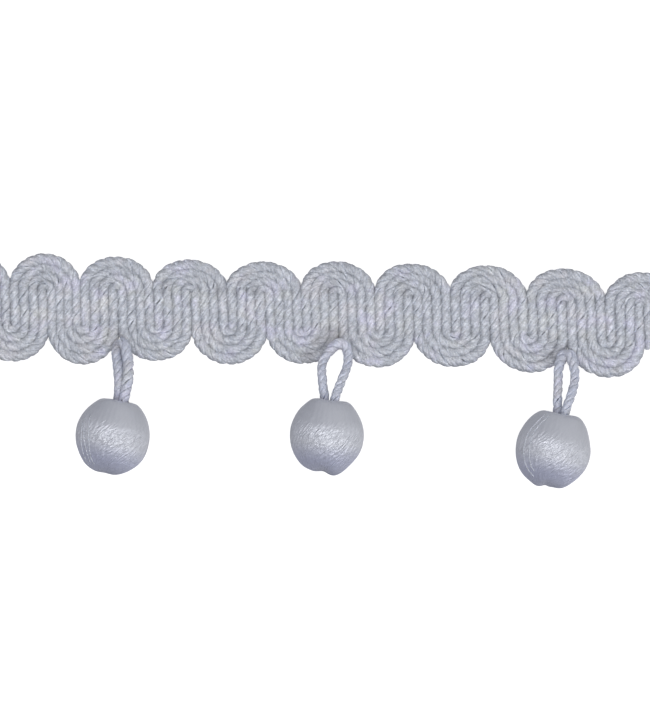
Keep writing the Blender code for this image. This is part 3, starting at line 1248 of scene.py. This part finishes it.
@dataclass
class Binding:
    """The fine threads that bind the columns of the heading at the band's two edges."""

    heading: Heading
    thread: Cord = field(default_factory=lambda: Cord(
        plies=2, pitch=0.9, lay_radius=0.036, ply_depth=0.038, ply_width=0.042,
        ring_step=0.16, strands=2, strand_depth=0.0, wander=0.0, swell=0.0, fuzz=0.0,
        fibres_round=1.2, fibres_along=2.0,
    ))
    rows: tuple[float, ...] = (-0.13, 0.13)
    steps: int = 8
    sunk: float = 0.09
    raised: float = 0.05
    steepness: float = 0.45
    floor_gap: float = 0.01

    def line(self, y: float, row: int) -> YarnLine:
        """Lead one thread over and under the columns in turn.

        Args:
            y: the height of the binding line.
            row: the thread's place in the line.

        Returns:
            The thread's middle line.
        """
        heading = self.heading
        made = YarnLine()
        lanes = heading.cords * (len(heading.scrolls) - 1)
        reach = heading.cord.rise()
        swing = reach * heading.binding_squeeze - self.sunk
        for k in range(lanes * self.steps + 1):
            lane = k / self.steps
            wave = math.sin(math.pi * (lane + row))
            shaped = math.copysign(abs(wave) ** self.steepness, wave)
            z = max(reach + self.raised + swing * shaped, self.thread.reach() + self.floor_gap)
            made.add(heading.point(lane, y + self.rows[row], z))
        made.wind(self.thread.pitch)
        return made

    def build(self, yarn: Yarn) -> None:
        """Make the two threads of each binding line.

        Args:
            yarn: what the threads are spun from.
        """
        for label, y in (("upper", self.heading.half_band), ("lower", -self.heading.half_band)):
            for row in range(len(self.rows)):
                yarn.spin(f"binding_{label}_{row + 1}", self.line(y, row), self.thread, row)


@dataclass(frozen=True)
class Dent:
    """A low swelling or hollow of a bead, in millimetres from the bead's middle in plan."""

    x: float
    y: float
    size: float
    rise: float


@dataclass
class Bead:
    """One wound bead, in millimetres and degrees. Its upper end leans to the right."""

    x: float
    y: float
    width: float
    height: float
    lean: float
    seed: int
    dents: tuple[Dent, ...] = ()
    strays: tuple[tuple[tuple[float, float], ...], ...] = ()
    lanes: int = 241
    rows: int = 130
    wraps: int = 38
    wrap_depth: float = 0.035
    stroke_lean: float = -0.75
    stroke_depth: float = 0.03
    flat_spot: float = 0.08
    unevenness: float = 0.12
    soft_floor: float = 0.16
    stray_rise: float = 0.03
    stray_seed: int = 40
    stray: Cord = field(default_factory=lambda: Cord(
        plies=2, pitch=1.4, lay_radius=0.045, ply_depth=0.05, ply_width=0.06, flatness=1.0,
        ring_step=0.12, strands=2, strand_depth=0.0, wander=0.0, swell=0.0, fuzz=0.0,
    ))
    outline: tuple[tuple[float, float], ...] = (
        (0.68, 0.00), (0.68, 0.20), (0.72, 0.27), (0.90, 0.28), (0.99, 0.34), (1.02, 0.43),
        (0.99, 0.55), (0.90, 0.67), (0.74, 0.80), (0.50, 0.92), (0.22, 1.00), (-0.07, 1.00),
        (-0.34, 0.93), (-0.60, 0.78), (-0.82, 0.57), (-0.96, 0.32), (-1.01, 0.12), (-1.00, 0.00),
    )

    def placing(self) -> Matrix:
        """Lay the upright bead down.

        Returns:
            The matrix that puts it on the surface.
        """
        middle = Vector((self.x, self.y, self.width / 2.0 - self.flat_spot)) * MM
        lean = Matrix.Rotation(-math.radians(self.lean), 4, "Z")
        return Matrix.Translation(middle) @ lean @ Matrix.Rotation(-math.pi / 2.0, 4, "X")

    def guide(self, name: str) -> bpy.types.Mesh:
        """Make the half outline of the bead, upright at the origin.

        Args:
            name: the mesh's name.

        Returns:
            The mesh, in metres.
        """
        half_width = self.width / 2.0 * MM
        half_height = self.height / 2.0 * MM
        line = spline_line(self.outline, steps=8)
        return line_mesh(name, [(max(x, 0.0) * half_width, 0.0, z * half_height) for z, x in line])

    def settle(self, mesh: bpy.types.Mesh) -> None:
        """Give the bead its dents and flatten it where it lies on the surface.

        Args:
            mesh: the bead's cover, where it lies.
        """
        low = self.soft_floor * MM
        middle = Vector((self.x, self.y, self.width / 2.0)) * MM
        for vertex in mesh.vertices:
            away = (vertex.co - middle) / MM
            for dent in self.dents:
                gap = (away.x - dent.x) ** 2 + (away.y - dent.y) ** 2
                vertex.co += away.normalized() * dent.rise * MM * math.exp(-gap / dent.size ** 2)
            if vertex.co.z < low:
                vertex.co.z = low * math.exp((vertex.co.z - low) / low)

    def stray_line(self, cover: BVHTree, plan: tuple[tuple[float, float], ...]) -> YarnLine:
        """Lay a raised thread on the bead.

        Args:
            cover: the bead's surface.
            plan: the points that the thread passes over, seen from above.

        Returns:
            The thread's middle line.
        """
        made = YarnLine()
        for x, y in spline_line(plan, steps=6):
            hit = cover.ray_cast(Vector((x, y, 2.0 * self.width)) * MM, Vector((0.0, 0.0, -1.0)))[0]
            if hit is not None:
                made.add(hit / MM + Vector((0.0, 0.0, self.stray_rise)))
        made.wind(self.stray.pitch)
        return made

    def lay_strays(self, number: int, cover: bpy.types.Mesh, yarn: Yarn) -> None:
        """Lay the raised threads of the bead's left side, where it has any.

        Args:
            number: the bead, from 1 on the left.
            cover: the bead's finished cover.
            yarn: what the threads are spun from.
        """
        faces = [tuple(face.vertices) for face in cover.polygons]
        surface = BVHTree.FromPolygons([vertex.co for vertex in cover.vertices], faces)
        for k, plan in enumerate(self.strays, start=1):
            line = self.stray_line(surface, plan)
            yarn.spin(f"raised_thread_{number}_{k}", line, self.stray, self.stray_seed + k)

    def build(self, number: int, windings: GrowingTree, silk: bpy.types.Material, strays: Yarn) -> None:
        """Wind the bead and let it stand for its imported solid.

        Args:
            number: the bead, from 1 on the left.
            windings: the tree of windings.
            silk: the cover's material.
            strays: what the raised threads are spun from.
        """
        name = f"wound_bead_{number}"
        piece = windings.grow(name, self.guide(name), {
            "Lanes": self.lanes,
            "Rows": self.rows,
            "Half width": self.width / 2.0 * MM,
            "Wraps": self.wraps,
            "Wrap depth": self.wrap_depth * MM,
            "Stroke lean": self.stroke_lean,
            "Stroke depth": self.stroke_depth * MM,
            "Unevenness": self.unevenness * MM,
            "Seed": self.seed,
            "Silk": silk,
        })
        piece.data.transform(self.placing())
        self.settle(piece.data)
        ride(piece, Slot.BEAD_THREAD)
        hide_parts(f"bead_{number}")
        self.lay_strays(number, piece.data, strays)


@dataclass
class Loop:
    """The doubled cord that a bead hangs on, in millimetres. It may be thicker all along by its
    girth, and thicker and shifted up at its top by its crown's swell and raise."""

    bead: Bead
    route: tuple[tuple[float, float, float], ...]
    girth: float = 1.0
    crown_swell: float = 0.0
    crown_raise: float = 0.0
    in_mouth: float = 1.10
    crown_reach: float = 1.1
    first_seed: int = 20
    cord: Cord = field(default_factory=lambda: Cord(
        pitch=3.3, lay_radius=0.372, ply_depth=0.272, ply_width=0.37, flatness=1.0, ring_step=0.18,
    ))

    def line(self) -> YarnLine:
        """Lead the cord from the bead's mouth over the notch of the heading and back.

        Returns:
            Its middle line.
        """
        lean = math.radians(self.bead.lean)
        down = Vector((-math.sin(lean), -math.cos(lean), 0.0)) * self.in_mouth
        route = [Vector(self.route[0]) + down]
        route += [Vector(point) for point in self.route]
        route.append(Vector(self.route[-1]) + down)
        made = YarnLine()
        top = max(point.y for point in route)
        for place in spline_line(route, steps=12):
            point = Vector(place)
            near = math.exp(-((top - point.y) / self.crown_reach) ** 2)
            point.y += self.crown_raise * near
            made.add(point, self.girth + self.crown_swell * near)
        made.wind(self.cord.pitch)
        return made

    def build(self, number: int, yarn: Yarn) -> None:
        """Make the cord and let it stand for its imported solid.

        Args:
            number: the loop, from 1 on the left.
            yarn: what the cord is spun from.
        """
        name = f"loop_cord_{number}"
        piece = yarn.spin(name, self.line(), self.cord, self.first_seed + number)
        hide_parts(f"loop_{number}")


@dataclass
class Drops:
    """The three beads with their loops."""

    beads: tuple[Bead, ...] = (
        Bead(-25.60, -17.60, 9.80, 9.90, 10.0, 3, (
            Dent(-0.80, -5.0, 1.2, -0.22),
            Dent(0.55, -4.7, 1.5, 0.05),
            Dent(-3.4, -3.7, 1.4, 0.08),
            Dent(3.7, -3.1, 2.0, 0.22),
            Dent(-2.3, 4.7, 1.8, -0.25),
            Dent(3.7, 3.7, 1.4, -0.15),
        ), (
            ((-29.05, -14.62), (-29.12, -15.24), (-29.23, -16.73), (-29.12, -18.22), (-28.95, -18.91),
             (-28.60, -20.11), (-28.28, -21.04)),
            ((-28.39, -14.60), (-28.53, -15.52), (-28.53, -17.75), (-28.24, -20.10), (-27.76, -21.16)),
            ((-29.46, -15.57), (-29.54, -16.74), (-29.55, -18.53), (-29.13, -20.13), (-28.52, -21.32)),
        )),
        Bead(3.01, -16.85, 9.80, 9.95, 2.9, 5, (
            Dent(1.15, -4.8, 1.3, 0.15),
            Dent(-0.45, -5.0, 1.15, -0.60),
            Dent(-2.2, -4.6, 1.2, -0.18),
            Dent(3.2, -3.6, 1.6, -0.12),
            Dent(-1.35, 5.3, 0.9, 0.18),
            Dent(-2.9, 4.7, 1.2, -0.13),
            Dent(3.8, 3.8, 1.3, -0.11),
        )),
        Bead(33.25, -17.65, 10.00, 9.90, 11.0, 8, (
            Dent(1.3, -5.0, 1.2, 0.12),
            Dent(0.0, -5.3, 0.8, -0.25),
            Dent(-1.0, -4.6, 0.55, -0.40),
            Dent(-2.0, -4.3, 0.8, 0.12),
            Dent(-4.2, -2.6, 2.0, 0.17),
            Dent(4.7, 1.6, 2.4, -0.20),
            Dent(2.7, 4.7, 0.9, 0.17),
        ), (
            ((32.44, -12.94), (31.28, -14.04), (30.40, -15.27), (30.01, -16.47), (29.90, -17.82),
             (30.00, -18.86), (30.32, -19.89), (30.71, -20.33)),
            ((32.00, -12.75), (30.83, -13.86), (29.86, -15.09), (29.36, -16.49), (29.20, -17.84),
             (29.37, -19.07), (29.87, -20.17), (30.64, -21.05)),
        )),
    )
    routes: tuple[tuple[tuple[float, float, float], ...], ...] = (
        (
            (-24.84, -12.35, 4.70), (-24.80, -10.60, 4.60), (-24.96, -8.90, 4.05),
            (-25.22, -7.40, 3.35), (-25.40, -6.30, 2.70), (-25.30, -5.35, 2.20),
            (-24.87, -4.92, 2.62), (-24.38, -5.20, 3.15), (-24.08, -6.10, 3.50),
            (-23.83, -7.30, 3.95), (-23.72, -8.60, 4.60), (-23.76, -10.10, 5.20),
            (-24.07, -11.70, 5.42),
        ),
        (
            (2.60, -11.60, 4.35), (2.34, -10.20, 4.20), (2.16, -8.60, 3.75),
            (2.08, -7.30, 3.05), (2.45, -6.10, 2.45), (3.25, -5.05, 2.20),
            (4.15, -4.40, 2.18), (5.00, -4.50, 2.18), (5.50, -5.35, 2.25),
            (5.58, -6.60, 2.65), (5.25, -7.90, 3.45), (4.75, -9.20, 4.30),
            (4.30, -10.40, 5.00), (3.93, -11.60, 5.28),
        ),
        (
            (33.73, -12.20, 4.35), (33.68, -11.00, 4.25), (33.71, -9.50, 3.90),
            (33.72, -8.00, 3.30), (33.78, -6.75, 2.70), (34.05, -5.70, 2.30),
            (34.60, -5.05, 2.20), (35.25, -5.15, 2.35), (35.70, -5.95, 2.70),
            (35.93, -7.20, 3.30), (35.85, -8.50, 4.00), (35.55, -9.80, 4.70),
            (35.10, -11.10, 5.30), (34.74, -12.20, 5.50),
        ),
    )
    # Each loop's girth, and its crown's swell and raise
    girths: tuple[tuple[float, float, float], ...] = (
        (1.20, 0.0, 0.0),
        (1.0, 0.24, 0.16),
        (1.0, 0.34, 0.24),
    )

    def build(self, windings: GrowingTree, silk: SilkFinish, loops: Yarn, strays: Yarn) -> None:
        """Make each bead and its loop.

        Args:
            windings: the tree of windings.
            silk: the beads' finish.
            loops: what the loops' cords are spun from.
            strays: what the raised threads are spun from.
        """
        cover = silk.make()
        drops = zip(self.beads, self.routes, self.girths)
        for number, (bead, route, girths) in enumerate(drops, start=1):
            bead.build(number, windings, cover, strays)
            Loop(bead, route, *girths).build(number, loops)


# The studio
@dataclass(frozen=True)
class Lamp:
    """A soft light: where it stands, how large it is and what it gives."""

    name: str
    azimuth: float
    elevation: float
    distance: float
    size: float
    power: float
    colour: Colour

    def build(self, target: Vector) -> None:
        """Add the light. Azimuth 0 stands at -Y and 90 at +X.

        Args:
            target: what it is aimed at.
        """
        light = bpy.data.lights.new(self.name, "AREA")
        light.shape = "DISK"
        light.size = self.size
        light.energy = self.power
        light.color = self.colour
        stand = add_object(self.name, light)
        turn = math.radians(self.azimuth)
        rise = math.radians(self.elevation)
        level = math.cos(rise)
        away = Vector((math.sin(turn) * level, -math.cos(turn) * level, math.sin(rise)))
        stand.location = target + away * self.distance
        stand.rotation_euler = (-away).to_track_quat("-Z", "Y").to_euler()


@dataclass(frozen=True)
class Studio:
    """The pale floor, the sky and the soft lights."""

    floor_half: float = 2.0
    floor_drop: float = 0.00003
    floor_colour: Colour = (0.42, 0.42, 0.42)
    floor_glow: float = 0.80
    floor_roughness: float = 0.9
    floor_gloss: float = 0.1
    paper_scale: float = 900.0
    paper_change: float = 1.01
    sky_level: float = 0.50
    sky_slope: tuple[float, float, float] = (0.17, 0.08, 0.10)
    sky_bright: Colour = (1.0, 1.0, 1.0)
    sky_dim: Colour = (0.86, 0.88, 1.0)
    lamps: tuple[Lamp, ...] = (
        Lamp("key", 0.0, 83.0, 0.95, 0.9, 6.2, (1.0, 1.0, 1.0)),
        Lamp("side", 85.0, 20.0, 0.95, 0.6, 0.75, (1.0, 1.0, 1.0)),
    )

    def build_floor(self) -> None:
        """Lay the floor, which diffuse and glossy rays pass through."""
        mesh = bpy.data.meshes.new("floor")
        half = self.floor_half
        low = -self.floor_drop
        rim = [(-half, -half, low), (half, -half, low), (half, half, low), (-half, half, low)]
        mesh.from_pydata(rim, [], [(0, 1, 2, 3)])
        paper = PaintTree("white_paper")
        lighter = tuple(part * self.paper_change for part in self.floor_colour)
        cloud = paper.noise(paper.place(), self.paper_scale, detail=2.0)
        mesh.materials.append(paper.paint({
            "Base Color": paper.mix(cloud, self.floor_colour, lighter),
            "Roughness": self.floor_roughness,
            "Specular IOR Level": self.floor_gloss,
            "Emission Color": (1.0, 1.0, 1.0, 1.0),
            "Emission Strength": self.floor_glow,
        }))
        floor = add_object("floor", mesh)
        floor.visible_diffuse = False
        floor.visible_glossy = False

    def build_sky(self) -> None:
        """Make the sky, which is brighter overhead, behind and on the right."""
        world = bpy.data.worlds.new("sky")
        world.use_nodes = True
        wires = Wiring(world.node_tree)
        sky = world.node_tree.nodes["Background"]
        toward = wires.add("ShaderNodeTexCoord").outputs["Generated"]
        rise = wires.vector("DOT_PRODUCT", toward, self.sky_slope)
        reach = Vector(self.sky_slope).length
        tone = wires.mix(wires.ramp(rise, -reach, reach), self.sky_dim, self.sky_bright)
        wires.feed(sky.inputs["Color"], tone)
        wires.feed(sky.inputs["Strength"], wires.plus(rise, self.sky_level))
        bpy.context.scene.world = world

    def build(self, target: Vector) -> None:
        """Make the floor, the sky and the lamps.

        Args:
            target: what the lamps are aimed at.
        """
        self.build_floor()
        self.build_sky()
        bpy.context.scene.view_settings.view_transform = "Standard"
        for lamp in self.lamps:
            lamp.build(target)


@dataclass(frozen=True)
class PhotoCamera:
    """The camera that looks straight down, as the photograph does."""

    middle: tuple[float, float, float] = (2.48, -6.57, 1.0)
    frame_width: float = 87.25
    roll: float = 1.7
    lens: float = 250.0
    sensor: float = 36.0

    def build(self) -> None:
        """Add the camera and let the scene use it."""
        data = bpy.data.cameras.new("photo_camera")
        data.lens = self.lens
        data.sensor_fit = "HORIZONTAL"
        data.sensor_width = self.sensor
        data.clip_start = 0.01
        data.clip_end = 10.0
        camera = add_object("photo_camera", data)
        distance = self.frame_width * self.lens / self.sensor
        camera.location = (Vector(self.middle) + Vector((0.0, 0.0, distance))) * MM
        camera.rotation_euler = (0.0, 0.0, math.radians(self.roll))
        bpy.context.scene.camera = camera


def main() -> None:
    """Build the fringe in order and report each piece."""
    logging.basicConfig(level=logging.INFO, format="%(name)s %(message)s")
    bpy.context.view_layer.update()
    camera = PhotoCamera()
    camera.build()
    cords = cord_tree()
    pink = Tint((0.53, 0.51, 0.53), 0.4, 330.0, 0.53, 0.0)
    neutral = Tint((0.485, 0.495, 0.485), 0.45, 300.0, 0.54, 0.37)
    lilac = Tint((0.50, 0.495, 0.61), 0.6, 360.0, 0.54, 0.71)
    tints = (pink, neutral, lilac)
    # The gimp and the loops carry painted shade where shadow falls
    gimp = YarnFinish(
        "gimp_yarn", (0.325, 0.342, 0.384), (0.463, 0.482, 0.527), 0.42, 0.9, 0.00016,
        tints + PAINTED_SHADES,
    )
    # The loops get weaker painted flank light, crown highlight and glints
    loops = YarnFinish(
        "loop_yarn", (0.415, 0.438, 0.515), (0.485, 0.507, 0.590), 0.46, 0.7, 0.00010,
        tints + LOOP_PAINTED_SHADES, painted_flank_light=0.36, painted_crown_highlight=0.12, flecks=0.14, satin=0.08,
    )
    binder = YarnFinish("binding_yarn", (0.48, 0.49, 0.54), (0.58, 0.59, 0.65), 0.45, 0.5, 0.00001)
    strays = YarnFinish("raised_silk", (0.37, 0.39, 0.445), (0.56, 0.58, 0.64), 0.40, 0.9, 0.00002)
    silk = SilkFinish("bead_silk", (0.485, 0.50, 0.555), (0.60, 0.615, 0.67))
    heading = Heading()
    heading.build(Yarn(cords, gimp.make(), Slot.GIMP_CORD))
    Binding(heading).build(Yarn(cords, binder.make(), Slot.GIMP_CORD))
    loop_yarn = Yarn(cords, loops.make(), Slot.LOOP_CORD)
    stray_yarn = Yarn(cords, strays.make(), Slot.BEAD_THREAD)
    Drops().build(winding_tree(), silk, loop_yarn, stray_yarn)
    Studio().build(Vector((camera.middle[0], camera.middle[1], 0.0)) * MM)


if __name__ == "__main__":
    main()
